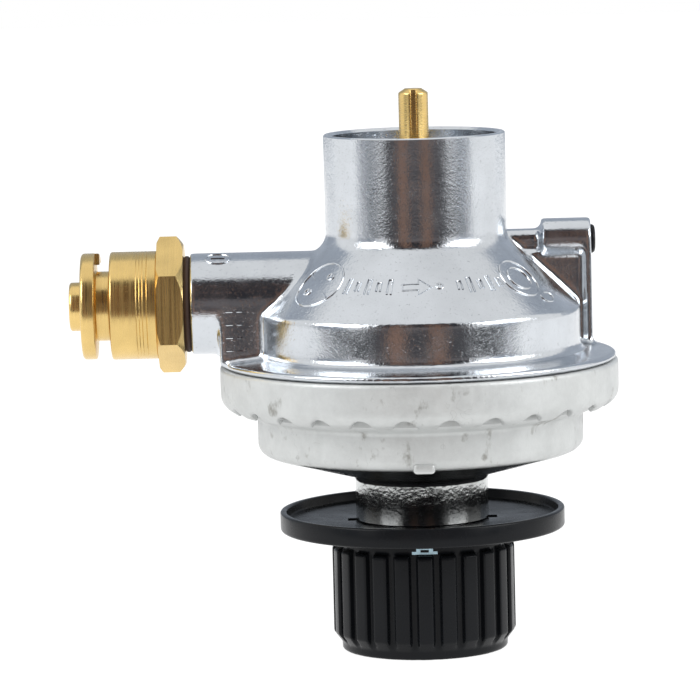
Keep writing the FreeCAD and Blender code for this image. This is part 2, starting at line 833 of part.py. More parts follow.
def knob_mark():
    """Printed arch with two feet on the knob's smooth collar, at the front."""
    layer = ring(KNOB_ROOT_R + 0.12, KNOB_ROOT_R, MARK_BOTTOM, MARK_TOP)
    arch = box(-1.6, 1.6, -KNOB_RIB_R, 0, MARK_BOTTOM, MARK_TOP)
    feet = box(-2.45, 2.45, -KNOB_RIB_R, 0, MARK_BOTTOM, MARK_BOTTOM + 0.55)
    slot = box(-0.8, 0.8, -KNOB_RIB_R, 0, MARK_BOTTOM + 0.4, MARK_BOTTOM + 0.9)
    return layer.common(arch.fuse(feet).cut(slot).removeSplitter())


PARTS = {
    "upper_housing": upper_housing,
    "lower_cover": lower_cover,
    "crimp_ring": crimp_ring,
    "diaphragm": diaphragm,
    "diaphragm_slip_ring": slip_ring,
    "vent_screen": vent_screen,
    "diaphragm_plate": diaphragm_plate,
    "stud_washer": stud_washer,
    "diaphragm_stud": diaphragm_stud,
    "stud_nut": stud_nut,
    "inlet_nozzle": inlet_nozzle,
    "inlet_pin": inlet_pin,
    "inlet_seal": inlet_seal,
    "inlet_filter": inlet_filter,
    "poppet": poppet,
    "poppet_seal": poppet_seal,
    "poppet_spring": poppet_spring,
    "outlet_adaptor": outlet_adaptor,
    "outlet_gasket": outlet_gasket,
    "outlet_jet": outlet_jet,
    "side_port_plug": side_port_plug,
    "side_port_seal": side_port_seal,
    "neck_bushing": neck_bushing,
    "adjusting_screw": adjusting_screw,
    "thrust_washer": thrust_washer,
    "stem_oring": stem_oring,
    "retaining_clip": retaining_clip,
    "spring_follower": spring_follower,
    "main_spring": main_spring,
    "bezel_dish": bezel_dish,
    "bezel_ring": bezel_ring,
    "knob": knob,
    "knob_cap": knob_cap,
    "knob_screw": knob_screw,
    "knob_mark": knob_mark,
}


def main():
    os.makedirs("parts", exist_ok=True)
    for name, make in PARTS.items():
        shape = make()
        solids = len(shape.Solids)
        print(f"{name}: valid {shape.isValid()}, solids {solids}, {shape.Volume:.1f} mm3")
        shape.exportStep(f"parts/{name}.step")


main()
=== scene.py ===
"""Looks of a gas pressure regulator with a screw-on cylinder cup and a ribbed knob.

Laid out as an add-on: settings, helpers, materials, one operator per piece, a panel.
All lengths in the settings are millimetres; Blender's own unit is the metre."""

import json
import math

import bpy
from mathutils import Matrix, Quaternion, Vector


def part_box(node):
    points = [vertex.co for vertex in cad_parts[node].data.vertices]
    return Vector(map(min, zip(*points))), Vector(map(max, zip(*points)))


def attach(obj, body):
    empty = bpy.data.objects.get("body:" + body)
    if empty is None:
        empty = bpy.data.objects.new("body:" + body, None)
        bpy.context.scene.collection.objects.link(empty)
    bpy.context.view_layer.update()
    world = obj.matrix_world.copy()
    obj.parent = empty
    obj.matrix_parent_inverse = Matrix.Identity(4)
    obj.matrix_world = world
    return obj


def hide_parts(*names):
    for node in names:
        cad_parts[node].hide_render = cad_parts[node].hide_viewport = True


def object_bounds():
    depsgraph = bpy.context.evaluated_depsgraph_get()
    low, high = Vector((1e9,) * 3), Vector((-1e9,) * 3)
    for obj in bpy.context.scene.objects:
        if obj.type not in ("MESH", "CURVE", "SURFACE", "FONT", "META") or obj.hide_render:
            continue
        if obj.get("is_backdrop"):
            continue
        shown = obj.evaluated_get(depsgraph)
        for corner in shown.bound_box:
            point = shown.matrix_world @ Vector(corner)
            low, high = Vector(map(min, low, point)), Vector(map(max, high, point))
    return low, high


bl_info = {
    "name": "Gas Regulator Looks",
    "version": (1, 0, 0),
    "blender": (4, 5, 0),
    "location": "View3D > Sidebar > Regulator",
    "description": "Builds the visible pieces and finishes of a gas pressure regulator",
    "category": "Object",
}

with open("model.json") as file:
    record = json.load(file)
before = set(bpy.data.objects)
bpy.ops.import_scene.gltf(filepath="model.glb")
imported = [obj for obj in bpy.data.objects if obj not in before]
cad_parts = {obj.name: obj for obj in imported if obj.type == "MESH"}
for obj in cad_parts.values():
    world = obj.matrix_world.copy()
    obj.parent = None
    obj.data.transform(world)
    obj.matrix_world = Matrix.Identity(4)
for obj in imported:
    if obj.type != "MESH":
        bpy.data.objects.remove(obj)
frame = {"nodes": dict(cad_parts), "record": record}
CAD_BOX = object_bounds()
MM = 0.001


def top_of(node):
    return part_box(node)[1].z / MM


def bottom_of(node):
    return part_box(node)[0].z / MM


# ---- Settings ----

def length(name, description, default, low=0.0):
    return bpy.props.FloatProperty(name=name, description=description, default=default, min=low)


def colour(name, description, default):
    return bpy.props.FloatVectorProperty(
        name=name, description=description, default=default, subtype="COLOR", size=3, min=0, max=1,
    )


class RegulatorSizes(bpy.types.PropertyGroup):
    cup_radius: length("Cup radius", "Outside of the cylinder cup, mm", 17.5)
    cup_mouth_radius: length("Cup mouth radius", "Inside of the cup at its mouth, mm", 16.15)
    thread_minor: length("Thread minor radius", "Crests of the cup's thread, mm", 12.15)
    thread_major: length("Thread major radius", "Roots of the cup's thread, mm", 12.75)
    thread_pitch: length("Thread pitch", "Distance from thread to thread, mm", 1.27)
    cone_top: length("Cone top", "Height where the cone meets the cup, mm", 79.6)
    waist_radius: length("Waist radius", "Cylindrical part under the cone, mm", 31.3)
    waist_top: length("Waist top", "Height where the cone starts, mm", 66.7)
    waist_bottom: length("Waist bottom", "Height where the waist meets the flange, mm", 58.3)
    flange_radius: length("Flange radius", "Edge of the housing above the ring, mm", 38.1)
    flange_top: length("Flange top", "Height of the flange's edge, mm", 57.3)
    groove_radius: length("Groove radius", "Housing under the ring's upper edge, mm", 36.6)
    step_radius: length("Step radius", "Both flanges inside the ring, mm", 37.35)
    chamber_radius: length("Chamber radius", "Inside of both castings, mm", 29.2)
    fillet: length("Fillet", "Radius of the casting's inner corners, mm", 0.7)
    voxel: length("Voxel", "Grid that the casting is melted on, mm", 0.33, 0.2)
    ring_radius: length("Ring radius", "Outside of the crimped ring, mm", 38.5)
    cover_radius: length("Cover radius", "Wall of the lower cover, mm", 31.5)
    cover_bottom: length("Cover bottom", "Height of the cover's lower edge, mm", 39.4)
    neck_radius: length("Neck radius", "Outside of the neck, mm", 12.9)
    neck_top: length("Neck top", "Height where the neck meets the cover, mm", 34.0)
    spigot_radius: length("Spigot radius", "Seat of the dish on the neck, mm", 11.5)
    dish_radius: length("Dish radius", "Outside of the dish, mm", 27.6)
    knob_radius: length("Knob radius", "Over the knob's ribs, mm", 17.7)
    knob_root: length("Knob root radius", "Between the knob's ribs, mm", 16.45)
    knob_pocket: length("Knob pocket radius", "Recess in the knob's top, mm", 13.2)
    rib_top: length("Rib top", "Height where the knob's ribs end, mm", 20.4)
    rib_width: length("Rib width", "Width of a knob rib, mm", 2.9)
    tube_radius: length("Tube radius", "Outlet tube, mm", 9.75)
    tube_mark: length("Tube mark", "Distance of the tube's mark from the axis, mm", 38.3)
    block_end: length("Block end", "Face of the block under the tube, mm", 38.2)
    mark_scale: length("Mark scale", "Size of the raised marks on the cone", 1.25)
    outlet_bore: length("Outlet bore", "Inside of the outlet tube, mm", 6.5)
    gasket_radius: length("Gasket radius", "Dark gasket at the hexagon, mm", 9.3)
    hex_corner: length("Hexagon corner radius", "Grip of the outlet plug, mm", 13.2)
    plug_radius: length("Plug radius", "Barrel of the outlet plug, mm", 10.4)
    groove_neck: length("Plug groove radius", "Groove behind the end flange, mm", 6.7)
    jet_radius: length("Jet radius", "Nose in the outlet plug, mm", 4.7)
    boss_radius: length("Boss radius", "Side port, mm", 4.2)
    pin_radius: length("Pin radius", "Brass pin in the cup, mm", 2.85)
    scallop_radius: length("Scallop radius", "Curve of a notch in the ring's edge, mm", 2.4)
    scallop_rise: length("Scallop rise", "Height of a notch in the ring's edge, mm", 1.9)
    scallops: bpy.props.IntProperty(name="Scallops", description="Round the crimped ring", default=28, min=3)
    ribs: bpy.props.IntProperty(name="Ribs", description="Round the knob", default=24, min=3)


class RegulatorColours(bpy.types.PropertyGroup):
    plating: colour("Plating", "Bright zinc plating", (0.65, 0.68, 0.715))
    casting: colour("Casting", "Matt rubbed zinc", (0.56, 0.575, 0.57))
    stain: colour("Stain", "Grime on the casting", (0.16, 0.15, 0.125))
    brass: colour("Brass", "Turned brass", (0.84, 0.60, 0.235))
    plastic: colour("Plastic", "Dish and knob", (0.0045, 0.005, 0.006))
    rubber: colour("Rubber", "Gaskets and seals", (0.02, 0.016, 0.015))
    mark: colour("Mark", "Printed arch on the knob", (0.50, 0.70, 0.80))
    steel: colour("Steel", "Inner steel parts", (0.52, 0.53, 0.55))
    floor: colour("Floor", "Pale floor", (1.0, 1.0, 1.0))


def sizes():
    return bpy.context.scene.regulator_sizes


def colours():
    return bpy.context.scene.regulator_colours


# ---- Modelling helpers ----

def clear_selection():
    if bpy.context.object is not None and bpy.context.object.mode != "OBJECT":
        bpy.ops.object.mode_set(mode="OBJECT")
    bpy.ops.object.select_all(action="DESELECT")


def activate(obj):
    clear_selection()
    bpy.context.view_layer.objects.active = obj
    obj.select_set(True)


def arc(centre_r, centre_z, radius, start, end, count=5):
    """Points of an arc in the profile plane; angles in degrees, 0 outwards, 90 up."""
    points = []
    for i in range(count + 1):
        angle = math.radians(start + (end - start) * i / count)
        points.append((centre_r + radius * math.cos(angle), centre_z + radius * math.sin(angle)))
    return points


def draw_profile(name, points, closed):
    """An edge loop in the XZ plane, drawn by extruding one vertex from point to point."""
    clear_selection()
    first = points[0]
    bpy.ops.mesh.primitive_plane_add(size=MM, location=(first[0] * MM, 0, first[1] * MM))
    obj = bpy.context.object
    obj.name = name
    bpy.ops.object.transform_apply(location=True, rotation=False, scale=False)
    bpy.ops.object.mode_set(mode="EDIT")
    bpy.ops.mesh.merge(type="CENTER")
    here = first
    for point in points[1:]:
        step = ((point[0] - here[0]) * MM, 0, (point[1] - here[1]) * MM)
        bpy.ops.mesh.extrude_vertices_move(TRANSFORM_OT_translate={"value": step})
        here = point
    if closed:
        bpy.ops.object.mode_set(mode="OBJECT")
        last = len(obj.data.vertices) - 1
        for vertex in obj.data.vertices:
            vertex.select = vertex.index in (0, last)
        bpy.ops.object.mode_set(mode="EDIT")
        bpy.ops.mesh.edge_face_add()
    bpy.ops.mesh.select_all(action="SELECT")
    return obj


def turned(name, points, steps=128, closed=True):
    """A lathe-turned piece about Z; closed profiles give rings, open ones end on the axis."""
    obj = draw_profile(name, points, closed)
    bpy.ops.mesh.spin(steps=steps, angle=math.tau, center=(0, 0, 0), axis=(0, 0, 1))
    bpy.ops.mesh.select_all(action="SELECT")
    bpy.ops.mesh.remove_doubles(threshold=MM * 0.002)
    bpy.ops.mesh.normals_make_consistent(inside=False)
    bpy.ops.object.mode_set(mode="OBJECT")
    return obj


def block(name, low, high):
    """A box between two corners, in millimetres."""
    clear_selection()
    middle = [(a + b) / 2 * MM for a, b in zip(low, high)]
    bpy.ops.mesh.primitive_cube_add(size=1, location=middle)
    obj = bpy.context.object
    obj.name = name
    obj.scale = [(b - a) * MM for a, b in zip(low, high)]
    bpy.ops.object.transform_apply(location=True, rotation=False, scale=True)
    return obj


def turn_to(obj, angle, axis, move):
    """Turns a piece made on the Z axis onto another axis, then applies its place."""
    activate(obj)
    obj.rotation_euler = [0, 0, 0]
    obj.rotation_euler["XYZ".index(axis)] = math.radians(angle)
    obj.location = [v * MM for v in move]
    bpy.ops.object.transform_apply(location=True, rotation=True, scale=False)
    return obj


def to_outlet(obj):
    return turn_to(obj, -90, "Y", (0, 0, OUTLET_Z))


def to_boss(obj):
    return turn_to(obj, 90, "Y", (0, BOSS_Y, BOSS_Z))


def apply_modifier(obj, kind, **settings):
    activate(obj)
    modifier = obj.modifiers.new(kind.title(), kind)
    for key, value in settings.items():
        setattr(modifier, key, value)
    bpy.ops.object.modifier_apply(modifier=modifier.name)


def cut(obj, *cutters):
    for cutter in cutters:
        apply_modifier(obj, "BOOLEAN", object=cutter, operation="DIFFERENCE", solver="EXACT")
        bpy.data.objects.remove(cutter)
    return obj


def unite(obj, *others):
    for other in others:
        apply_modifier(obj, "BOOLEAN", object=other, operation="UNION", solver="EXACT")
        bpy.data.objects.remove(other)
    return obj


def rod(name, radius, bottom, top, steps=96):
    """A closed round bar on the Z axis, for cutting or melting into a casting."""
    points = [(0, bottom), (radius, bottom), (radius, top), (0, top)]
    return turned(name, points, steps=steps, closed=False)


def swell(obj, distance):
    apply_modifier(obj, "DISPLACE", strength=distance * MM, mid_level=0.0, direction="NORMAL")


def fill_corners(obj, radius, voxel):
    """Melts overlapping solids into one, with fillets of this radius in the inner corners."""
    apply_modifier(obj, "REMESH", mode="VOXEL", voxel_size=voxel * MM)
    swell(obj, radius)
    apply_modifier(obj, "REMESH", mode="VOXEL", voxel_size=voxel * MM)
    apply_modifier(obj, "SMOOTH", factor=0.5, iterations=2)
    swell(obj, -radius)
    apply_modifier(obj, "REMESH", mode="VOXEL", voxel_size=voxel * MM)


def join(name, *objects):
    activate(objects[0])
    for obj in objects[1:]:
        obj.select_set(True)
    bpy.ops.object.join()
    bpy.context.object.name = name
    return bpy.context.object


def soften(obj, width, segments=2, angle=30):
    """Rounds the edges sharper than the angle, by a width in millimetres."""
    apply_modifier(
        obj, "BEVEL", width=width * MM, segments=segments, limit_method="ANGLE",
        angle_limit=math.radians(angle), harden_normals=False,
    )


def cast(obj, voxel, passes):
    """Melts overlapping solids into one casting with small fillets."""
    apply_modifier(obj, "REMESH", mode="VOXEL", voxel_size=voxel * MM)
    apply_modifier(obj, "SMOOTH", factor=0.5, iterations=passes)


def smooth(obj, angle=35):
    activate(obj)
    bpy.ops.object.shade_smooth_by_angle(angle=math.radians(angle))


def copies_around(obj, count, start=0.0):
    """Copies of one piece round the Z axis, joined into one."""
    made = [obj]
    for i in range(1, count):
        activate(obj)
        bpy.ops.object.duplicate()
        copy = bpy.context.object
        copy.rotation_euler = (0, 0, math.tau * i / count)
        bpy.ops.object.transform_apply(location=False, rotation=True, scale=False)
        made.append(copy)
    whole = join(obj.name, *made)
    whole.rotation_euler = (0, 0, math.radians(start))
    bpy.ops.object.transform_apply(location=False, rotation=True, scale=False)
    return whole


def finish_piece(obj, material, body, node):
    """Gives a piece its finish and its body, and hides the CAD node it stands for."""
    obj.data.materials.clear()
    obj.data.materials.append(material)
    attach(obj, body)
    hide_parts(node)


# ---- Places and sizes shared by several pieces, in millimetres ----

OUTLET_Z = (top_of("outlet_adaptor") + bottom_of("outlet_adaptor")) / 2
TUBE_END = -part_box("outlet_gasket")[1].x / MM
HEX_START = -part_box("outlet_gasket")[0].x / MM
BOSS_Z = (top_of("side_port_plug") + bottom_of("side_port_plug")) / 2
BOSS_Y = (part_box("side_port_plug")[0].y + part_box("side_port_plug")[1].y) / 2 / MM
BOSS_END = 34.1
BOSS_START = 24.5
PORT_BORE_R = 2.6
PORT_DEPTH = 7.1
RIDGE_R = 2.3
WEB_HALF = 3.2
PLATE_THICK = 1.3
NOZZLE_R = 5.0
BUSHING_R = 6.5
KEY_R, KEY_HALF = 10.75, 1.55
NECK_BORE_R = 9.6
VENT_AT, VENT_R = (-9, 20), 2.0
GAS_PASSAGE_R, JET_SEAT_R = 3.5, 4.0
CUP_TOP = top_of("upper_housing")
CUP_FLOOR = bottom_of("inlet_filter") + 0.1
FLOOR_Z = bottom_of("knob")


# ---- Raised marks ----

def bead(points, cyclic, surface, radius):
    """A raised line that follows the surface through these points."""
    clear_selection()
    first = points[0]
    bpy.ops.mesh.primitive_plane_add(size=MM, location=first)
    line = bpy.context.object
    line.name = "bead"
    bpy.ops.object.transform_apply(location=True, rotation=False, scale=False)
    bpy.ops.object.mode_set(mode="EDIT")
    bpy.ops.mesh.merge(type="CENTER")
    here = first
    for point in points[1:]:
        bpy.ops.mesh.extrude_vertices_move(TRANSFORM_OT_translate={"value": point - here})
        here = point
    bpy.ops.object.mode_set(mode="OBJECT")
    if cyclic:
        last = len(line.data.vertices) - 1
        for vertex in line.data.vertices:
            vertex.select = vertex.index in (0, last)
        bpy.ops.object.mode_set(mode="EDIT")
        bpy.ops.mesh.edge_face_add()
        bpy.ops.object.mode_set(mode="OBJECT")
    apply_modifier(line, "SHRINKWRAP", target=surface, wrap_method="NEAREST_SURFACEPOINT")
    bpy.ops.object.convert(target="CURVE")
    line = bpy.context.object
    line.data.bevel_depth = radius * MM
    line.data.bevel_resolution = 2
    line.data.use_fill_caps = True
    bpy.ops.object.convert(target="MESH")
    return bpy.context.object


def cone_spot(s, azimuth, rise):
    """A point on the cone with the directions to its right and up its slope."""
    turn = math.radians(azimuth)
    outward = Vector((math.sin(turn), -math.cos(turn), 0))
    low, high = (s.waist_radius - 0.7, s.waist_top + 0.15), (s.cup_radius + 1.0, s.cone_top - 1.0)
    radius = low[0] + (high[0] - low[0]) * rise
    height = low[1] + (high[1] - low[1]) * rise
    uphill = (outward * (high[0] - low[0]) + Vector((0, 0, high[1] - low[1]))).normalized()
    rightward = Vector((math.cos(turn), math.sin(turn), 0))
    return (outward * radius + Vector((0, 0, height))) * MM, rightward, uphill


def round_mark(radius, count=20, squash=1.0):
    """Corners of a ring-shaped mark."""
    turns = [math.tau * i / count for i in range(count)]
    return [(radius * math.cos(t), radius * squash * math.sin(t)) for t in turns]


BEAD_R = 0.22
DASH_BEAD_R = 0.18
TUBE_MARK_TILT = 22
ARROW = [(-2.2, 0.6), (0.2, 0.6), (0.2, 1.5), (2.2, 0), (0.2, -1.5), (0.2, -0.6), (-2.2, -0.6)]
BAR = [(-0.3, -1.4), (-0.3, 1.4), (0.3, 1.4), (0.3, -1.4)]
SHORT_BAR = [(-0.3, -0.8), (-0.3, 0.8), (0.3, 0.8), (0.3, -0.8)]
ROW_DASHES = ([(-1.7, 0), (-0.4, 0)], [(0.4, 0), (1.4, 0)])
BAR_PLACES = (-33, -28, -23, -18, -13, 18, 23, 28, 33, 38)


def casting_marks(surface, s):
    """Generic raised marks: rings, an arrow and a row of bars, with no lettering."""
    plan = [
        (-50, 0.50, round_mark(4.3), True), (-50, 0.50, [(-3.6, 2.0), (3.4, -2.3)], False),
        (-46, 0.62, round_mark(0.6, 8), True), (-54, 0.38, round_mark(0.6, 8), True),
        (-1, 0.50, ARROW, True), (9, 0.50, round_mark(0.5, 8), True),
        (52, 0.52, round_mark(3.6), True), (52, 0.52, round_mark(2.2, 16), True),
        (60, 0.20, round_mark(1.6, 12, 0.6), True),
    ]
    for i, azimuth in enumerate(BAR_PLACES):
        plan.append((azimuth, 0.50, SHORT_BAR if i % 2 else BAR, True))
    beads = []
    for azimuth, rise, shape, cyclic in plan:
        spot, rightward, uphill = cone_spot(s, azimuth, rise)
        points = [spot + (rightward * u + uphill * v) * s.mark_scale * MM for u, v in shape]
        beads.append(bead(points, cyclic, surface, BEAD_R))
    tilt = math.radians(TUBE_MARK_TILT)
    outward = Vector((0, -math.sin(tilt), math.cos(tilt)))
    along = Vector((0, -math.cos(tilt), -math.sin(tilt)))
    top = Vector((-s.tube_mark, 0, OUTLET_Z)) * MM + outward * s.tube_radius * MM
    for shape, cyclic in ((round_mark(2.4, 20, 0.8), True), ([(-1.3, 0), (1.3, 0)], False)):
        points = [top + (Vector((1, 0, 0)) * u + along * v) * MM for u, v in shape]
        beads.append(bead(points, cyclic, surface, BEAD_R))
    for row in range(4):
        spot = Vector((-s.block_end + 3.0, -s.tube_radius, s.flange_top + 2.5 + 2.5 * row)) * MM
        for shape in ROW_DASHES:
            points = [spot + Vector((u, 0, v)) * MM for u, v in shape]
            beads.append(bead(points, False, surface, DASH_BEAD_R))
    return beads


# ---- Material helpers ----

class Nodes:
    """A material's node tree, with short ways to add and link nodes."""

    def __init__(self, name):
        self.material = bpy.data.materials.new(name)
        self.material.use_nodes = True
        self.tree = self.material.node_tree
        self.shader = self.tree.nodes["Principled BSDF"]
        self.place = self.add("ShaderNodeTexCoord").outputs["Object"]

    def add(self, kind, **values):
        node = self.tree.nodes.new(kind)
        for key, value in values.items():
            setattr(node, key, value)
        return node

    def link(self, source, target):
        self.tree.links.new(source, target)

    def stretched(self, scale):
        node = self.add("ShaderNodeMapping")
        node.inputs["Scale"].default_value = scale
        self.link(self.place, node.inputs["Vector"])
        return node.outputs["Vector"]

    def noise(self, scale, detail=3.0, place=None, rough=0.5):
        node = self.add("ShaderNodeTexNoise")
        node.inputs["Scale"].default_value = scale
        node.inputs["Detail"].default_value = detail
        node.inputs["Roughness"].default_value = rough
        self.link(place or self.place, node.inputs["Vector"])
        return node.outputs["Fac"]

    def ramp(self, source, low, high, dark=0.0, light=1.0):
        """Maps a value between two limits onto an output range."""
        node = self.add("ShaderNodeMapRange")
        node.inputs["From Min"].default_value = low
        node.inputs["From Max"].default_value = high
        node.inputs["To Min"].default_value = dark
        node.inputs["To Max"].default_value = light
        self.link(source, node.inputs["Value"])
        return node.outputs["Result"]

    def maths(self, operation, a, b):
        node = self.add("ShaderNodeMath", operation=operation)
        for socket, value in zip(node.inputs, (a, b)):
            if isinstance(value, (int, float)):
                socket.default_value = value
            else:
                self.link(value, socket)
        return node.outputs["Value"]

    def mix(self, factor, first, second):
        node = self.add("ShaderNodeMix", data_type="RGBA")
        self.link(factor, node.inputs["Factor"])
        for socket, value in zip((node.inputs[6], node.inputs[7]), (first, second)):
            if isinstance(value, (tuple, list)):
                socket.default_value = (*value, 1)
            else:
                self.link(value, socket)
        return node.outputs[2]

    def bump(self, height, strength, distance, below=None):
        node = self.add("ShaderNodeBump")
        node.inputs["Strength"].default_value = strength
        node.inputs["Distance"].default_value = distance * MM
        self.link(height, node.inputs["Height"])
        if below is not None:
            self.link(below, node.inputs["Normal"])
        return node.outputs["Normal"]

    def set(self, **values):
        for key, value in values.items():
            socket = self.shader.inputs[key.replace("_", " ")]
            if isinstance(value, (int, float)):
                socket.default_value = value
            elif isinstance(value, (tuple, list)):
                socket.default_value = (*value, 1)
            else:
                self.link(value, socket)
        return self.material


def as_tuple(value):
    return tuple(value)


def shade(value, factor):
    return tuple(component * factor for component in value)


# ---- Finishes ----

def plating_skin(n):
    """Orange peel, fine grain and pits of a plated casting, as one bump."""
    peel = n.bump(n.noise(420, 2), 0.34, 0.05)
    grain = n.bump(n.noise(2100, 3, rough=0.6), 0.90, 0.034, peel)
    return n.bump(n.ramp(n.noise(1500, 2), 0.60, 0.72), 0.35, 0.04, grain)


def plated_zinc():
    """Bright plating over a cast surface, with an orange-peel skin and faint pits."""
    n = Nodes("plated_zinc")
    base = as_tuple(colours().plating)
    patches = n.ramp(n.noise(90, 4), 0.35, 0.7)
    tint = n.mix(patches, base, shade(base, 0.86))
    specks = n.ramp(n.noise(1900, 3, rough=0.7), 0.62, 0.72)
    worn = n.mix(n.maths("MULTIPLY", specks, 0.5), tint, shade(base, 0.35))
    rough = n.ramp(n.noise(260, 5), 0.3, 0.75, 0.08, 0.24)
    return n.set(Base_Color=worn, Metallic=1.0, Roughness=rough, Normal=plating_skin(n))


def contours(n, source, width):
    """Thin curved lines along the middle level of a noise, like scratches."""
    middle = n.maths("ABSOLUTE", n.maths("SUBTRACT", source, 0.5), 0.0)
    return n.ramp(middle, 0.0, width, 1.0, 0.0)


def cast_zinc():
    """Matt casting, rubbed pale, with grime and scratches. Below the cover's edge it is plated."""
    n = Nodes("cast_zinc")
    base = as_tuple(colours().casting)
    stain = as_tuple(colours().stain)
    height = n.add("ShaderNodeSeparateXYZ")
    n.link(n.place, height.inputs["Vector"])
    streaks = n.noise(1.0, 5, n.stretched((420, 420, 210)), 0.65)
    spots = n.ramp(n.maths("MULTIPLY", streaks, n.noise(190, 3)), 0.33, 0.42)
    clouds = n.ramp(n.noise(170, 5, rough=0.7), 0.38, 0.64)
    scratches = n.maths("MULTIPLY", contours(n, n.noise(300, 2), 0.006), n.ramp(n.noise(120, 2), 0.56, 0.66))
    cloudy = n.mix(n.maths("MULTIPLY", clouds, 0.7), base, shade(base, 0.84))
    dirty = n.mix(n.maths("MULTIPLY", spots, 0.65), cloudy, stain)
    scored = n.mix(n.maths("MULTIPLY", scratches, 0.5), dirty, shade(base, 0.4))
    plated = n.ramp(height.outputs["Z"], 0.0384, 0.0390, 1.0, 0.0)
    tint = n.mix(plated, scored, shade(base, 1.05))
    matt = n.ramp(n.noise(500, 4), 0.3, 0.8, 0.36, 0.55)
    rough = n.maths("MULTIPLY", matt, n.ramp(plated, 0.0, 1.0, 1.0, 0.28))
    metal = n.ramp(plated, 0.0, 1.0, 0.45, 1.0)
    grain = n.bump(n.noise(1500, 4), 0.60, 0.06)
    dents = n.bump(n.noise(220, 3), 0.55, 0.18, grain)
    scored_skin = n.bump(scratches, -0.4, 0.03, dents)
    return n.set(Base_Color=tint, Metallic=metal, Roughness=rough, Normal=scored_skin)


def turned_brass(axis="X"):
    """Brass with the fine rings that a lathe leaves across the given axis."""
    n = Nodes("turned_brass_" + axis.lower())
    base = as_tuple(colours().brass)
    scale = {"X": (3200, 40, 40), "Z": (40, 40, 3200)}[axis]
    rings = n.noise(1.0, 3, n.stretched(scale))
    cloudy = n.mix(n.ramp(n.noise(150, 4), 0.35, 0.7), base, shade(base, 0.82))
    rough = n.ramp(rings, 0.3, 0.7, 0.20, 0.34)
    ring_bump = n.bump(rings, 0.18, 0.02)
    return n.set(Base_Color=cloudy, Metallic=1.0, Roughness=rough, Normal=ring_bump)


def black_plastic():
    """Moulded plastic with a fine grain and slight sheen variation."""
    n = Nodes("black_plastic")
    base = as_tuple(colours().plastic)
    tint = n.mix(n.noise(80, 3), base, shade(base, 1.6))
    rough = n.ramp(n.noise(300, 4), 0.3, 0.7, 0.20, 0.30)
    grain = n.bump(n.noise(2600, 2), 0.12, 0.03)
    return n.set(Base_Color=tint, Roughness=rough, Normal=grain, Specular_IOR_Level=0.14)


def rubber(name, base):
    n = Nodes(name)
    tint = n.mix(n.noise(200, 3), base, shade(base, 1.5))
    grain = n.bump(n.noise(1800, 3), 0.3, 0.03)
    return n.set(Base_Color=tint, Roughness=0.7, Normal=grain)


def steel(name, factor=1.0):
    """Drawn or pressed steel with fine streaks along the axis."""
    n = Nodes(name)
    base = shade(as_tuple(colours().steel), factor)
    streaks = n.noise(1.0, 3, n.stretched((900, 900, 200)))
    tint = n.mix(n.ramp(streaks, 0.3, 0.7), base, shade(base, 0.85))
    rough = n.ramp(streaks, 0.3, 0.7, 0.25, 0.4)
    return n.set(Base_Color=tint, Metallic=1.0, Roughness=rough, Normal=n.bump(streaks, 0.2, 0.02))


def printed_mark():
    n = Nodes("printed_mark")
    base = as_tuple(colours().mark)
    worn = n.mix(n.ramp(n.noise(900, 4), 0.45, 0.7), base, shade(base, 0.8))
    return n.set(Base_Color=worn, Roughness=0.45)


def plain(name, base, rough):
    n = Nodes(name)
    tint = n.mix(n.noise(300, 3), base, shade(base, 0.85))
    grain = n.bump(n.noise(1500, 3), 0.15, 0.02)
    return n.set(Base_Color=tint, Roughness=rough, Normal=grain)


def sintered():
    n = Nodes("sintered_bronze")
    base = (0.45, 0.28, 0.12)
    grains = n.noise(2400, 3)
    tint = n.mix(n.ramp(grains, 0.4, 0.6), base, shade(base, 0.4))
    return n.set(Base_Color=tint, Metallic=1.0, Roughness=0.6, Normal=n.bump(grains, 0.8, 0.1))


FINISHES = {}


def finish(name):
    """Each finish is made once, when a piece first asks for it."""
    makers = {
        "plated_zinc": plated_zinc,
        "cast_zinc": cast_zinc,
        "brass": turned_brass,
        "brass_upright": lambda: turned_brass("Z"),
        "black_plastic": black_plastic,
        "black_rubber": lambda: rubber("black_rubber", as_tuple(colours().rubber)),
        "dark_gasket": lambda: rubber("dark_gasket", (0.035, 0.018, 0.014)),
        "orange_rubber": lambda: rubber("orange_rubber", (0.30, 0.10, 0.04)),
        "steel": lambda: steel("steel"),
        "spring_steel": lambda: steel("spring_steel", 0.75),
        "white_plastic": lambda: plain("white_plastic", (0.75, 0.75, 0.70), 0.4),
        "sintered_bronze": sintered,
        "blue_print": printed_mark,
    }
    if name not in FINISHES:
        FINISHES[name] = makers[name]()
    return FINISHES[name]


# ---- Pieces ----

class RegulatorOperator(bpy.types.Operator):
    bl_options = {"REGISTER", "UNDO"}

    def execute(self, context):
        self.build(context)
        return {"FINISHED"}


class REGULATOR_OT_inner_parts(RegulatorOperator):
    """Finish for the CAD parts that keep their own shape"""
    bl_idname = "regulator.inner_parts"
    bl_label = "Inner parts"

    def build(self, context):
        slots = {s["node"]: s["material_slot"] for s in frame["record"]["subparts"]}
        for node, obj in frame["nodes"].items():
            obj.data.materials.clear()
            obj.data.materials.append(finish(slots[node]))
            activate(obj)
            bpy.ops.object.shade_smooth_by_angle(angle=math.radians(30))


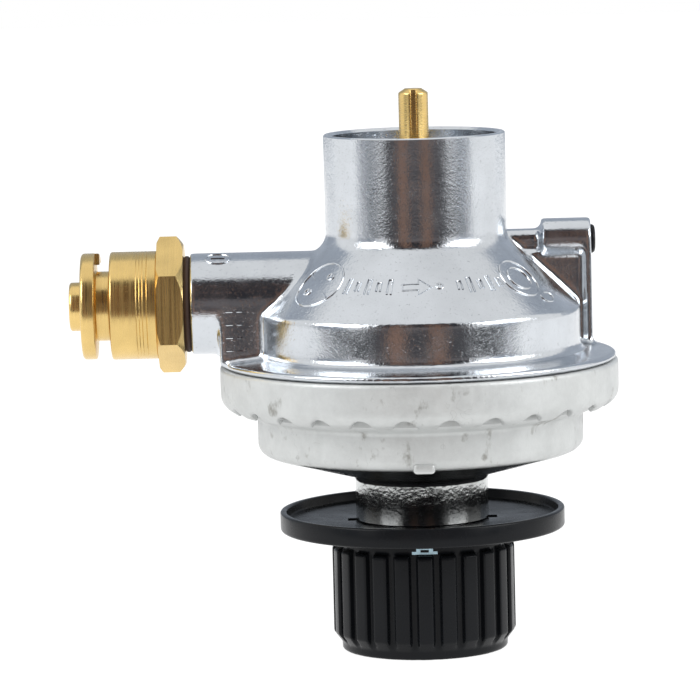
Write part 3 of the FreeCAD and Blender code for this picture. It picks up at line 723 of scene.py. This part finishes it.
class REGULATOR_OT_upper_housing(RegulatorOperator):
    """Cast housing: cup, cone, waist, flange, outlet tube and side port"""
    bl_idname = "regulator.upper_housing"
    bl_label = "Upper housing"

    def build(self, context):
        s = sizes()
        casting = join(
            "upper_housing_casting",
            self.shell(s), self.tube(s), self.block(s), *self.side_port(s),
        )
        fill_corners(casting, s.fillet, s.voxel)
        apply_modifier(casting, "SMOOTH", factor=0.5, iterations=2)
        apply_modifier(casting, "DECIMATE", ratio=0.42)
        marks = casting_marks(casting, s)
        unite(casting, self.spigot(s))
        cut(
            casting, self.rim(s), self.cup_hollow(s), self.chamber(s),
            rod("nozzle_hole", NOZZLE_R, self.roof(s) - 1, CUP_FLOOR + 1),
            to_outlet(rod("outlet_bore", s.outlet_bore, 20, TUBE_END + 1)),
            to_boss(rod("port_bore", PORT_BORE_R, BOSS_END - PORT_DEPTH, BOSS_END + 1, 48)),
        )
        whole = join("upper_housing_casting", casting, *marks)
        smooth(whole, 40)
        finish_piece(whole, finish("plated_zinc"), "housing", "upper_housing")

    def roof(self, s):
        return CUP_FLOOR - 6.0

    def shell(self, s):
        edge, waist, cup = s.flange_radius, s.waist_radius, s.cup_radius
        low, high = s.flange_top - 1.25, s.flange_top
        return turned("shell", [
            (0, low), (edge - 0.3, low), (edge, low + 0.3), (edge, high - 0.3), (edge - 0.3, high),
            (waist + 0.9, s.waist_bottom - 0.3), (waist + 0.25, s.waist_bottom),
            (waist, s.waist_bottom + 0.9), (waist, s.waist_top - 0.8),
            (waist - 0.2, s.waist_top - 0.25), (waist - 0.7, s.waist_top + 0.15),
            (cup + 1.0, s.cone_top - 1.0), (cup + 0.3, s.cone_top - 0.1), (cup, s.cone_top + 1.0),
            (cup, CUP_TOP + 1.5), (0, CUP_TOP + 1.5),
        ], steps=192, closed=False)

    def spigot(self, s):
        low, step = bottom_of("upper_housing"), top_of("crimp_ring") - 2.0
        return turned("spigot", [
            (0, low), (s.step_radius, low), (s.step_radius, step), (s.groove_radius, step),
            (s.groove_radius, s.flange_top - 1.0), (0, s.flange_top - 1.0),
        ], steps=192, closed=False)

    def tube(self, s):
        return to_outlet(rod("tube", s.tube_radius, 15, TUBE_END))

    def block(self, s):
        return block(
            "block", (-s.block_end, -s.tube_radius, s.flange_top - 0.5),
            (-s.waist_radius + 6, s.tube_radius, OUTLET_Z),
        )

    def side_port(self, s):
        boss = to_boss(rod("boss", s.boss_radius, BOSS_START, BOSS_END, 64))
        ridge = to_boss(rod("ridge", RIDGE_R, s.cup_radius - 4, BOSS_START + 1, 48))
        web = block(
            "web", (s.cup_radius - 4, BOSS_Y - WEB_HALF, s.waist_bottom - 1),
            (BOSS_END - 1, BOSS_Y + WEB_HALF, BOSS_Z - 2),
        )
        plate = block(
            "plate", (BOSS_END - PLATE_THICK, BOSS_Y - s.boss_radius, s.flange_top - 0.6),
            (BOSS_END, BOSS_Y + s.boss_radius, BOSS_Z),
        )
        return boss, ridge, web, plate

    def rim(self, s):
        """What is turned off the cup's top to leave a flat rim with a fine chamfer."""
        cup = s.cup_radius
        return turned("rim", [
            (0, CUP_TOP), (cup - 0.25, CUP_TOP), (cup + 0.1, CUP_TOP - 0.35), (cup + 3, CUP_TOP - 0.35),
            (cup + 3, CUP_TOP + 4), (0, CUP_TOP + 4),
        ], closed=False)

    def cup_hollow(self, s):
        floor = CUP_TOP - 5.0
        start = CUP_FLOOR + 2.6
        points = [(0, CUP_FLOOR), (s.thread_major + 0.2, CUP_FLOOR), (s.thread_major + 0.2, start)]
        for i in range(int((floor - 1.0 - start) / s.thread_pitch)):
            z = start + i * s.thread_pitch
            points += [
                (s.thread_minor, z + 0.45), (s.thread_minor, z + 0.60),
                (s.thread_major, z + 1.05), (s.thread_major, z + s.thread_pitch),
            ]
        points += [
            (s.thread_major + 0.5, floor), (s.cup_mouth_radius, floor),
            (s.cup_mouth_radius, CUP_TOP - 0.5), (s.cup_mouth_radius + 0.45, CUP_TOP + 0.02),
            (s.cup_mouth_radius + 0.45, CUP_TOP + 1), (0, CUP_TOP + 1),
        ]
        return turned("cup_hollow", points, closed=False)

    def chamber(self, s):
        low = bottom_of("upper_housing") - 1
        return turned("chamber", [
            (0, low), (s.chamber_radius, low), (s.chamber_radius, s.waist_top - 1.6),
            (15.0, self.roof(s)), (0, self.roof(s)),
        ], closed=False)


class REGULATOR_OT_crimp_ring(RegulatorOperator):
    """Scalloped ring that clamps the two halves"""
    bl_idname = "regulator.crimp_ring"
    bl_label = "Crimp ring"

    def build(self, context):
        s = sizes()
        outer, top, lip = s.ring_radius, top_of("crimp_ring"), bottom_of("crimp_ring")
        inner = s.groove_radius + 0.1
        body = turned("crimp_ring_band", [
            (inner, top), (outer - 0.5, top), (outer - 0.15, top - 0.15), (outer, top - 0.5),
            (outer, lip + 3.5), (outer - 0.08, lip + 2.6), (outer - 0.35, lip + 1.85),
            (outer - 0.85, lip + 1.15), (outer - 1.5, lip + 0.65), (outer - 2.5, lip),
            (outer - 3.0, lip + 0.8), (outer - 2.0, lip + 1.5), (outer - 1.3, lip + 2.3),
            (s.step_radius + 0.1, lip + 3.5), (s.step_radius + 0.1, top - 1.9), (inner, top - 1.9),
        ], steps=224)
        scallop = rod("scallop", s.scallop_radius, 34, 40, 32)
        turn_to(scallop, 90, "X", (0, 0, lip + s.scallop_rise - s.scallop_radius))
        cut(body, copies_around(scallop, s.scallops, -5.3))
        cast(body, 0.30, 1)
        apply_modifier(body, "DECIMATE", ratio=0.5)
        smooth(body, 50)
        finish_piece(body, finish("cast_zinc"), "housing", "crimp_ring")


class REGULATOR_OT_lower_cover(RegulatorOperator):
    """Lower casting with its neck and locating tab"""
    bl_idname = "regulator.lower_cover"
    bl_label = "Lower cover"

    def build(self, context):
        s = sizes()
        top, low = top_of("lower_cover"), bottom_of("lower_cover")
        lip, wall, neck = bottom_of("crimp_ring"), s.cover_radius, s.neck_radius
        bend, spigot, base = s.cover_bottom, s.spigot_radius, low + 1.7
        body = turned("lower_cover_casting", [
            (0, top), (s.step_radius, top), (s.step_radius, lip + 3.5), (37.0, lip + 2.4),
            (36.2, lip + 1.65), (35.9, lip + 1.8), (35.4, lip + 2.3), (34.8, lip + 2.3),
            (34.3, lip + 1.8), (34.2, lip + 0.3), (33.7, lip - 0.3), (32.6, lip - 0.7),
            (wall + 0.3, lip - 1.1), (wall + 0.05, lip - 1.5), (wall, lip - 1.9),
            (wall, bend + 1.3), (wall - 0.15, bend + 0.6), (wall - 0.6, bend - 0.1),
            (wall - 1.2, bend - 0.6), (wall - 2.2, bend - 1.05),
            (neck + 1.2, s.neck_top + 0.25), (neck + 0.6, s.neck_top + 0.05),
            (neck + 0.15, s.neck_top - 0.4), (neck, s.neck_top - 1.0),
            (neck, base + 0.25), (neck - 0.25, base), (spigot, base),
            (spigot, low + 0.7), (spigot - 0.5, low + 0.7), (spigot - 0.5, low + 0.1),
            (spigot - 0.2, low + 0.1), (spigot - 0.2, low), (0, low),
        ], steps=160, closed=False)
        tab = block("tab", (-2.0, -wall - 0.3, bend - 1.3), (2.1, -wall + 4, bend + 0.8))
        soften(tab, 0.7, 4)
        unite(body, tab)
        floor = base + 2.7
        space = turned("spring_space", [
            (0, floor), (NECK_BORE_R, floor), (NECK_BORE_R, 36.9), (s.chamber_radius, 41.6),
            (s.chamber_radius, top + 1), (0, top + 1),
        ], closed=False)
        keys = block("keys", (-KEY_R, -KEY_HALF, floor), (KEY_R, KEY_HALF, 42))
        hole = rod("bushing_hole", BUSHING_R, low - 1, floor + 0.1)
        vent = rod("vent", VENT_R, 32, 44, 48)
        turn_to(vent, 0, "Z", (*VENT_AT, 0))
        cut(body, space, keys, hole, vent)
        smooth(body, 35)
        finish_piece(body, finish("cast_zinc"), "housing", "lower_cover")


class REGULATOR_OT_bezel_dish(RegulatorOperator):
    """Black dish round the neck"""
    bl_idname = "regulator.bezel_dish"
    bl_label = "Dish"

    def build(self, context):
        s = sizes()
        rim, high, outer = bottom_of("bezel_dish"), top_of("bezel_dish"), s.dish_radius
        low = rim + 0.9
        floor, inner = low + 1.0, outer - 1.25
        points = [(s.spigot_radius, low), (outer - 2.2, low), (outer - 1.5, rim + 0.15)]
        points += [(outer - 1.35, rim + 0.05), (outer - 1.1, rim)]
        points += arc(outer - 0.6, rim + 0.6, 0.6, -90, 0, 4)
        points += arc(outer - 0.4, high - 0.4, 0.4, 10, 80, 3)
        points += arc(inner + 0.4, high - 0.4, 0.4, 100, 170, 3)
        points += [(inner, floor + 0.5), (inner - 0.15, floor + 0.15), (inner - 0.5, floor)]
        recess = floor - 0.12
        points += [(s.neck_radius + 3.0, floor), (s.neck_radius + 2.6, recess), (s.spigot_radius, recess)]
        body = turned("bezel_dish_moulding", points, steps=160)
        slot = block("slot", (s.neck_radius - 0.6, -1.6, low - 1), (s.neck_radius + 1.6, 1.6, floor + 1))
        soften(slot, 0.3, 2)
        cut(body, copies_around(slot, 4))
        smooth(body, 35)
        finish_piece(body, finish("black_plastic"), "housing", "bezel_dish")


class REGULATOR_OT_knob(RegulatorOperator):
    """Ribbed hand knob"""
    bl_idname = "regulator.knob"
    bl_label = "Knob"

    def build(self, context):
        s = sizes()
        top, root, outer = top_of("knob"), s.knob_root, s.knob_radius
        foot, rib_top = root - 0.35, s.rib_top
        core = turned("knob_moulding", [
            (0, FLOOR_Z), (foot - 0.3, FLOOR_Z), (foot, 0.3), (foot, 1.5), (root, 2.2),
            (root, top - 0.6), (root - 0.2, top - 0.2), (root - 0.6, top), (0, top),
        ], steps=128, closed=False)
        rib = block("rib", (12, -s.rib_width / 2, 1.5), (20, s.rib_width / 2, rib_top))
        ribs = copies_around(rib, s.ribs, -90)
        envelope = turned("envelope", [
            (0, 1), (foot, 1), (foot, 1.5), (outer, 3.6), (outer, rib_top - 0.5),
            (outer - 0.5, rib_top + 0.01), (outer - 0.5, rib_top + 1), (0, rib_top + 1),
        ], steps=192, closed=False)
        apply_modifier(ribs, "BOOLEAN", object=envelope, operation="INTERSECT", solver="EXACT")
        bpy.data.objects.remove(envelope)
        body = join("knob_moulding", core, ribs)
        cast(body, 0.25, 3)
        apply_modifier(body, "DECIMATE", ratio=0.5)
        cap, hub = 13.4, 7.0
        web_low, web_high, hub_top = 17.0, 19.5, 21.5
        hollow = turned("hollow", [(hub, -1), (cap, -1), (cap, web_low), (hub, web_low)])
        recess = rod("recess", hub, -2, 8)
        pocket = turned("pocket", [
            (0, top + 1), (s.knob_pocket, top + 1), (s.knob_pocket, web_high),
            (hub, web_high), (hub, hub_top), (0, hub_top),
        ], closed=False)
        stem = rod("stem_hole", 4.0, 7, hub_top + 1)
        cut(body, hollow, recess, pocket, stem)
        smooth(body, 40)
        finish_piece(body, finish("black_plastic"), "knob", "knob")


class REGULATOR_OT_outlet(RegulatorOperator):
    """Brass outlet plug with its hexagon, gasket and jet"""
    bl_idname = "regulator.outlet"
    bl_label = "Outlet"

    def build(self, context):
        s = sizes()
        self.adaptor(s)
        self.gasket(s)
        self.jet(s)

    turned_grooves = (1.9, 2.7, 3.3, 3.9)  # from the hexagon, mm

    def adaptor(self, s):
        end = -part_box("outlet_adaptor")[0].x / MM
        start = -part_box("outlet_adaptor")[1].x / MM
        hex_end, barrel_end, groove_end = HEX_START + 5.1, end - 5.6, end - 2.7
        barrel, flange = s.plug_radius, s.plug_radius - 0.15
        points = [
            (0, start), (s.outlet_bore - 0.5, start), (s.outlet_bore, start + 0.5),
            (s.outlet_bore, HEX_START), (barrel - 0.6, HEX_START), (barrel - 0.6, hex_end),
            (barrel - 0.25, hex_end), (barrel, hex_end + 0.25),
        ]
        for offset in self.turned_grooves:
            groove = hex_end + offset
            points += [(barrel, groove - 0.1), (barrel - 0.07, groove), (barrel, groove + 0.1)]
        points += arc(barrel - 0.5, barrel_end - 0.5, 0.5, 0, 90, 7)
        points += [(s.groove_neck + 0.3, barrel_end), (s.groove_neck, barrel_end + 0.3)]
        points += [(s.groove_neck, groove_end - 0.25), (s.groove_neck + 0.25, groove_end)]
        points += arc(flange - 0.3, groove_end + 0.3, 0.3, -90, 0, 3)
        points += arc(flange - 0.7, end - 0.7, 0.7, 0, 90, 7)
        points += [(0, end)]
        body = turned("outlet_plug", points, steps=160, closed=False)
        hexagon = self.hexagon(s, hex_end)
        unite(body, hexagon)
        cam = self.cam(s, groove_end, flange)
        unite(body, cam)
        bore = rod("bore", GAS_PASSAGE_R, start - 1, end + 1, 64)
        seat = rod("seat", JET_SEAT_R, end - 3.6, end + 1, 64)
        cut(body, bore, seat)
        to_outlet(body)
        smooth(body, 16)
        finish_piece(body, finish("brass"), "housing", "outlet_adaptor")

    def hexagon(self, s, hex_end):
        """Six-sided bar, turned down to a cone at both ends."""
        low, corner = HEX_START, s.hex_corner
        clear_selection()
        bpy.ops.mesh.primitive_cylinder_add(
            vertices=6, radius=corner * MM, depth=(hex_end - low) * MM,
            location=(0, 0, (low + hex_end) / 2 * MM), rotation=(0, 0, math.radians(30)),
        )
        bar = bpy.context.object
        bpy.ops.object.transform_apply(location=True, rotation=True, scale=False)
        slope = math.tan(math.radians(30))
        near, far, collar = 1.3, 0.6, 12.0
        limit = turned("limit", [
            (0, low), (collar - 0.5, low), (collar, low + 0.3), (corner, low + near),
            (corner, hex_end - far),
            (corner - far / slope, hex_end), (0, hex_end),
        ], steps=160, closed=False)
        apply_modifier(bar, "BOOLEAN", object=limit, operation="INTERSECT", solver="EXACT")
        bpy.data.objects.remove(limit)
        return bar

    def cam(self, s, groove_end, flange):
        """Raised quarter on the flange's inner side, at the top rear."""
        lug = turned("cam", [
            (8.0, groove_end - 0.8), (flange - 0.2, groove_end - 0.8),
            (flange - 0.05, groove_end - 0.6), (flange - 0.05, groove_end + 0.2), (8.0, groove_end + 0.2),
        ], steps=96)
        front = block("front", (-20, -20, groove_end - 5), (20, 0, groove_end + 5))
        low = block("low", (-20, -1, groove_end - 5), (8, 20, groove_end + 5))
        return cut(lug, front, low)

    def gasket(self, s):
        thick, outer = HEX_START - TUBE_END, s.gasket_radius
        points = [(s.outlet_bore, TUBE_END), (outer - 0.2, TUBE_END)]
        points += arc(outer - thick / 2, (TUBE_END + HEX_START) / 2, thick / 2, -60, 60, 6)
        points += [(outer - 0.2, HEX_START), (s.outlet_bore, HEX_START)]
        body = to_outlet(turned("outlet_gasket_ring", points, steps=128))
        smooth(body, 50)
        finish_piece(body, finish("dark_gasket"), "housing", "outlet_gasket")

    def jet(self, s):
        end = -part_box("outlet_jet")[0].x / MM
        start = -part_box("outlet_jet")[1].x / MM
        shoulder, outer = end - 2.4, s.jet_radius
        points = [(0.5, start), (JET_SEAT_R, start), (JET_SEAT_R, shoulder)]
        points += [(outer - 0.15, shoulder), (outer, shoulder + 0.15)]
        points += arc(outer - 0.55, end - 0.55, 0.55, 0, 90, 4)
        points += [(2.0, end), (1.5, end - 0.25), (0.5, end - 1.2)]
        body = to_outlet(turned("outlet_jet_nose", points, steps=96))
        smooth(body, 30)
        finish_piece(body, finish("brass"), "housing", "outlet_jet")


class REGULATOR_OT_inlet_pin(RegulatorOperator):
    """Fluted brass pin in the cup"""
    bl_idname = "regulator.inlet_pin"
    bl_label = "Inlet pin"

    def build(self, context):
        s = sizes()
        low, high = bottom_of("inlet_pin"), top_of("inlet_pin")
        shank, pin, step = s.pin_radius + 0.35, s.pin_radius, top_of("inlet_nozzle") - 2.0
        points = [(0, low), (shank, low), (shank, step), (pin, step), (pin, high - 1.2)]
        points += arc(pin - 0.5, high - 1.05, 0.5, 10, 40, 2)
        points += [(pin - 1.0, high - 0.15), (pin - 1.2, high), (0, high)]
        body = turned("inlet_pin_fluted", points, steps=96, closed=False)
        flute = block("flute", (-0.65, -shank - 1, low - 1), (0.65, -pin + 0.95, high + 1))
        soften(flute, 0.25, 2)
        cut(body, flute)
        soften(body, 0.12, 2, 40)
        smooth(body, 35)
        finish_piece(body, finish("brass_upright"), "housing", "inlet_pin")


class REGULATOR_OT_side_plug(RegulatorOperator):
    """Plug of the side port"""
    bl_idname = "regulator.side_plug"
    bl_label = "Side port plug"

    def build(self, context):
        inner, bore = BOSS_END - 5.0, PORT_BORE_R
        points = [
            (0, inner), (bore - 0.2, inner), (bore, inner + 0.2), (bore, inner + 1.6), (1.8, inner + 1.6),
            (1.8, inner + 2.8), (bore, inner + 2.8), (bore, BOSS_END), (bore + 0.2, BOSS_END),
            (bore + 0.2, BOSS_END + 0.4), (bore - 0.05, BOSS_END + 0.75), (bore - 0.5, BOSS_END + 0.9),
            (1.5, BOSS_END + 0.9), (1.3, BOSS_END + 0.6), (0, BOSS_END + 0.6),
        ]
        body = to_boss(turned("side_port_stopper", points, steps=64, closed=False))
        smooth(body, 35)
        finish_piece(body, finish("black_plastic"), "housing", "side_port_plug")


class REGULATOR_OT_stage(RegulatorOperator):
    """Floor, lights and camera"""
    bl_idname = "regulator.stage"
    bl_label = "Stage"

    def build(self, context):
        self.floor()
        self.dark_room()
        self.lights()
        self.camera()

    def floor(self):
        clear_selection()
        bpy.ops.mesh.primitive_plane_add(size=6, location=(0, 0, FLOOR_Z * MM))
        ground = bpy.context.object
        ground.name = "floor"
        n = Nodes("floor")
        n.shader.inputs["Emission Strength"].default_value = 0.93
        pale = as_tuple(colours().floor)
        ground.data.materials.append(n.set(Base_Color=shade(pale, 0.12), Roughness=0.9, Emission_Color=pale))
        ground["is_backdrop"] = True

    def card(self, name, low, high, tint, near=None):
        """A panel that only mirror-like finishes see. A floor panel may narrow towards its near edge."""
        clear_selection()
        bpy.ops.mesh.primitive_plane_add(size=1)
        panel = bpy.context.object
        panel.name = name
        corners = [
            (low[0], low[1], low[2]), (high[0], high[1], low[2]),
            (low[0], low[1], high[2]), (high[0], high[1], high[2]),
        ]
        if low[2] == high[2]:
            corners = [(x, low[1], low[2]) for x in (low[0], high[0])]
            corners += [(x, high[1], low[2]) for x in near or (low[0], high[0])]
        for vertex, corner in zip(panel.data.vertices, corners):
            vertex.co = corner
        n = Nodes(name)
        mottled = n.mix(n.noise(6, 4), tint, shade(tint, 0.4))
        panel.data.materials.append(n.set(Base_Color=(0, 0, 0), Roughness=1.0, Emission_Color=mottled))
        n.shader.inputs["Emission Strength"].default_value = 1.0
        panel.visible_camera = False
        panel.visible_diffuse = False
        panel.visible_shadow = False
        panel.visible_transmission = False
        panel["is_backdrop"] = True

    def dark_room(self):
        dark, warm, cool = (0.03, 0.032, 0.04), (0.34, 0.19, 0.13), (0.60, 0.66, 0.75)
        self.card("dark_wall", (-0.95, -1.25, 0.001), (0.95, -1.25, 2.4), dark)
        self.card("dark_ground", (-0.95, -1.25, 0.001), (0.95, -0.20, 0.001), dark)
        self.card("warm_left", (-0.45, -1.20, 0.002), (-0.22, -1.20, 1.6), warm)
        self.card("warm_right", (0.15, -1.20, 0.002), (0.38, -1.20, 1.6), warm)
        self.card("warm_ground_left", (-0.485, -1.20, 0.002), (-0.225, -0.20, 0.002), warm, (-0.080, -0.037))
        self.card("warm_ground_right", (0.162, -1.20, 0.002), (0.380, -0.20, 0.002), warm, (0.027, 0.062))
        self.card("grey_wall", (-0.95, -1.24, 0.001), (0.95, -1.24, 0.38), (0.20, 0.185, 0.19))
        self.card("left_wall", (-1.5, -1.20, 0.001), (-1.5, -0.30, 2.4), shade(cool, 0.75))
        self.card("right_wall", (1.5, -1.20, 0.001), (1.5, -0.50, 2.4), cool)
        self.card("back_wall", (-2.0, 1.3, 0.001), (2.0, 1.3, 2.4), cool)

    def lights(self):
        world = bpy.data.worlds.new("studio")
        world.use_nodes = True
        background = world.node_tree.nodes["Background"]
        background.inputs["Color"].default_value = (1, 1, 1, 1)
        background.inputs["Strength"].default_value = 1.0
        bpy.context.scene.world = world
        for name, place, size, power in (
            ("left_softbox", (-1.1, -0.6, 0.8), 0.8, 9.0),
            ("right_softbox", (1.1, -0.5, 0.7), 0.8, 9.0),
        ):
            lamp = bpy.data.lights.new(name, "AREA")
            lamp.size = size
            lamp.energy = power
            holder = bpy.data.objects.new(name, lamp)
            bpy.context.scene.collection.objects.link(holder)
            holder.location = place
            aim = Vector((0, 0, 0.06)) - Vector(place)
            holder.rotation_euler = aim.to_track_quat("-Z", "Y").to_euler()
        bpy.context.scene.view_settings.view_transform = "Standard"

    def camera(self):
        elevation, roll = math.radians(6.6), math.radians(-1.4)
        distance = 0.85
        target = Vector((-0.0133, 0, 0.0583))
        back = Vector((0, -math.cos(elevation), math.sin(elevation)))
        lens = bpy.data.cameras.new("camera")
        lens.sensor_width = 36
        lens.lens = 226
        holder = bpy.data.objects.new("camera", lens)
        bpy.context.scene.collection.objects.link(holder)
        holder.location = target + back * distance
        aim = (-back).to_track_quat("-Z", "Y")
        holder.rotation_mode = "QUATERNION"
        holder.rotation_quaternion = aim @ Quaternion(Vector((0, 0, 1)), roll)
        bpy.context.scene.camera = holder


PIECES = (
    REGULATOR_OT_inner_parts,
    REGULATOR_OT_upper_housing,
    REGULATOR_OT_crimp_ring,
    REGULATOR_OT_lower_cover,
    REGULATOR_OT_bezel_dish,
    REGULATOR_OT_knob,
    REGULATOR_OT_outlet,
    REGULATOR_OT_inlet_pin,
    REGULATOR_OT_side_plug,
    REGULATOR_OT_stage,
)


class REGULATOR_PT_panel(bpy.types.Panel):
    """Lists the pieces, one button each"""
    bl_idname = "REGULATOR_PT_panel"
    bl_label = "Regulator"
    bl_space_type = "VIEW_3D"
    bl_region_type = "UI"
    bl_category = "Regulator"

    def draw(self, context):
        for piece in PIECES:
            self.layout.operator(piece.bl_idname)


CLASSES = (RegulatorSizes, RegulatorColours, *PIECES, REGULATOR_PT_panel)


def register():
    for cls in CLASSES:
        bpy.utils.register_class(cls)
    bpy.types.Scene.regulator_sizes = bpy.props.PointerProperty(type=RegulatorSizes)
    bpy.types.Scene.regulator_colours = bpy.props.PointerProperty(type=RegulatorColours)


def unregister():
    del bpy.types.Scene.regulator_colours
    del bpy.types.Scene.regulator_sizes
    for cls in reversed(CLASSES):
        bpy.utils.unregister_class(cls)


def corners(box):
    return [[float(value) for value in corner] for corner in box]


def main():
    register()
    for piece in PIECES:
        group, name = piece.bl_idname.split(".")
        getattr(getattr(bpy.ops, group), name)()
    {"cad": corners(CAD_BOX), "visual": corners(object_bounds())}


if __name__ == "__main__":
    main()
